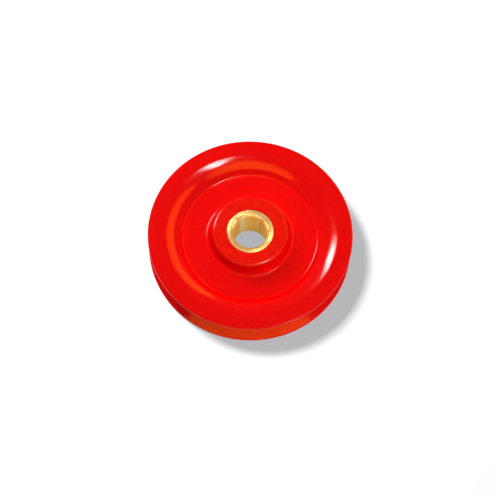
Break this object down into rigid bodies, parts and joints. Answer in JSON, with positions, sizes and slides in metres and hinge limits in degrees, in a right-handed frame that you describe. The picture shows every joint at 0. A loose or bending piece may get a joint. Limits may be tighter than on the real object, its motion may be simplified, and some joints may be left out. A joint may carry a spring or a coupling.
{
  "type": "rope sheave",
  "caption": "Round grooved wheel for fibre rope with a dished web and a hub standing proud on both sides, bushed with a plain bronze sleeve.",
  "frame": {"origin": "centre of the bore, in the middle plane of the wheel", "axes": "+Z along the axis the wheel turns on; the wheel lies flat, and both sides are the same"},
  "size_m": [0.1524, 0.1524, 0.031],
  "materials": {
    "red_enamel": "gloss",
    "bush_bronze": "turned"
  },
  "bodies": {
    "root": {"sheave_wheel": "red_enamel", "bush": "bush_bronze"}
  },
  "joints": []
}
